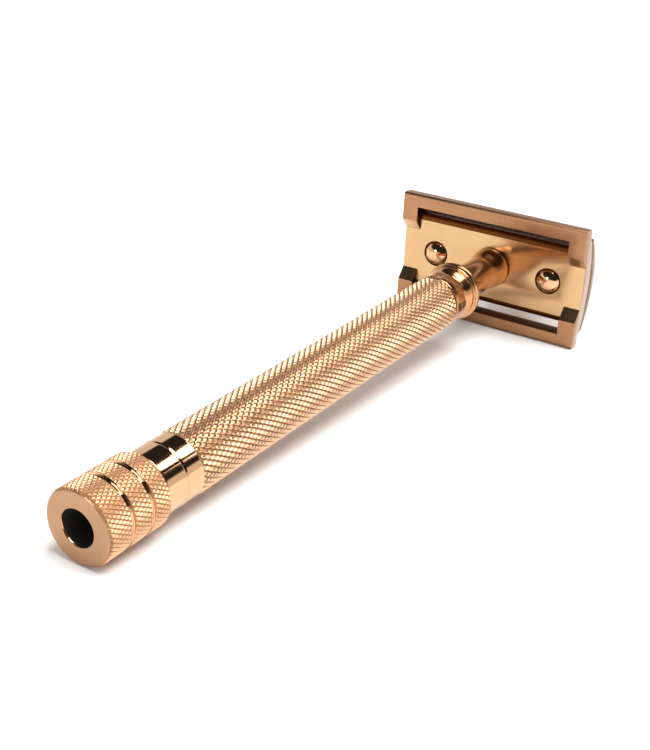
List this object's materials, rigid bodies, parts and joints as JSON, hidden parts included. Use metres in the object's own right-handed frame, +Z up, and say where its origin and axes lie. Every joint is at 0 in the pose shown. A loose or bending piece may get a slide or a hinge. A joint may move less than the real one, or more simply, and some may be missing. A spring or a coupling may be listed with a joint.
{
  "type": "safety razor",
  "caption": "Double-edge safety razor with a long knurled handle, flared collar, slim neck, polished base plate with safety bars and an arched cap over the blade.",
  "frame": {"origin": "on the ground below the middle of the lying razor's box", "axes": "+X from the end knob towards the cap, +Y along the safety bars, +Z up; the handle rises 3.23 degrees towards the head"},
  "size_m": [0.1318, 0.0414, 0.0257],
  "materials": {
    "knurled_rose_gold": "knurled, plated in light rose gold",
    "polished_rose_gold": "mirror polished rose gold plating",
    "satin_rose_gold": "satin rose gold plating",
    "plate_gold": "polished gold plating with satin bars",
    "blade_steel": "fine ground stainless steel"
  },
  "bodies": {
    "handle": {"end_knob": "knurled_rose_gold", "handle_tube": "knurled_rose_gold", "neck_ferrule": "polished_rose_gold"},
    "guard": {"base_plate": "plate_gold"},
    "cap": {"top_cap": "satin_rose_gold", "threaded_post": "polished_rose_gold", "alignment_stud_left": "polished_rose_gold", "alignment_stud_right": "polished_rose_gold"},
    "blade": {"blade": "blade_steel"}
  },
  "joints": [
    {"name": "head_turn", "type": "hinge", "parent": "handle", "child": "guard", "pos_m": [-0.06556, 0, 0.00583], "axis": [0.9984, 0, 0.0563], "range_deg": [0, 2880]},
    {"name": "cap_lift", "type": "slide", "parent": "guard", "child": "cap", "axis": [0.9984, 0, 0.0563], "range_m": [0, 0.00641]},
    {"name": "blade_lift", "type": "slide", "parent": "guard", "child": "blade", "axis": [0.9984, 0, 0.0563], "range_m": [0, 0.00321]}
  ],
  "couplings": [
    {"joint": "cap_lift", "follows": "head_turn", "m_per_rad": 0.00012732},
    {"joint": "blade_lift", "follows": "head_turn", "m_per_rad": 0.000063662}
  ]
}
